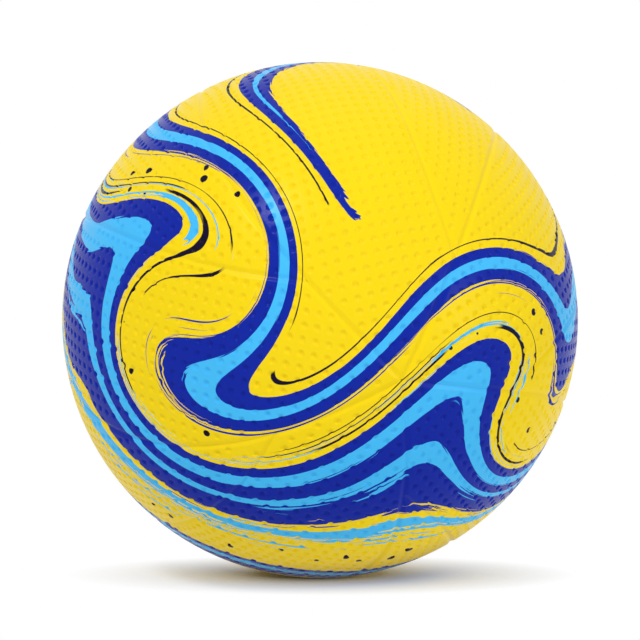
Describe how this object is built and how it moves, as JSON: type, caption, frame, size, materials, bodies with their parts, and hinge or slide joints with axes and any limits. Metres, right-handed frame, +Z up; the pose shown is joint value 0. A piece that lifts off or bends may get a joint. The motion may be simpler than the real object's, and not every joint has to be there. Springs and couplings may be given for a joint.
{
  "type": "volleyball",
  "caption": "Full-size inflatable volleyball: dimpled rubber cover panels that swirl from pole to pole over a thread-wound carcass, a bladder and a needle valve.",
  "frame": {"origin": "centre of the ball", "axes": "+Z up as the ball lies in the picture, +Y away from the viewer; one pole of the panel pattern points towards the viewer, to the right and a little down, and the valve points up and to the left"},
  "size_m": [0.2098, 0.21, 0.2099],
  "materials": {
    "cover": "satin soft-touch rubber with moulded dimples and a printed pattern",
    "carcass": "nylon thread set in latex",
    "bladder": "matt black butyl",
    "valve_housing": "matt moulded rubber",
    "valve_core": "satin moulded rubber"
  },
  "bodies": {
    "root": {"cover_panel_1": "cover", "cover_panel_2": "cover", "cover_panel_3": "cover", "cover_panel_4": "cover", "cover_panel_5": "cover", "cover_panel_6": "cover", "cover_panel_7": "cover", "cover_panel_8": "cover", "cover_panel_9": "cover", "cover_panel_10": "cover", "wound_carcass": "carcass", "bladder": "bladder", "valve_housing": "valve_housing", "valve_core": "valve_core"}
  },
  "joints": []
}
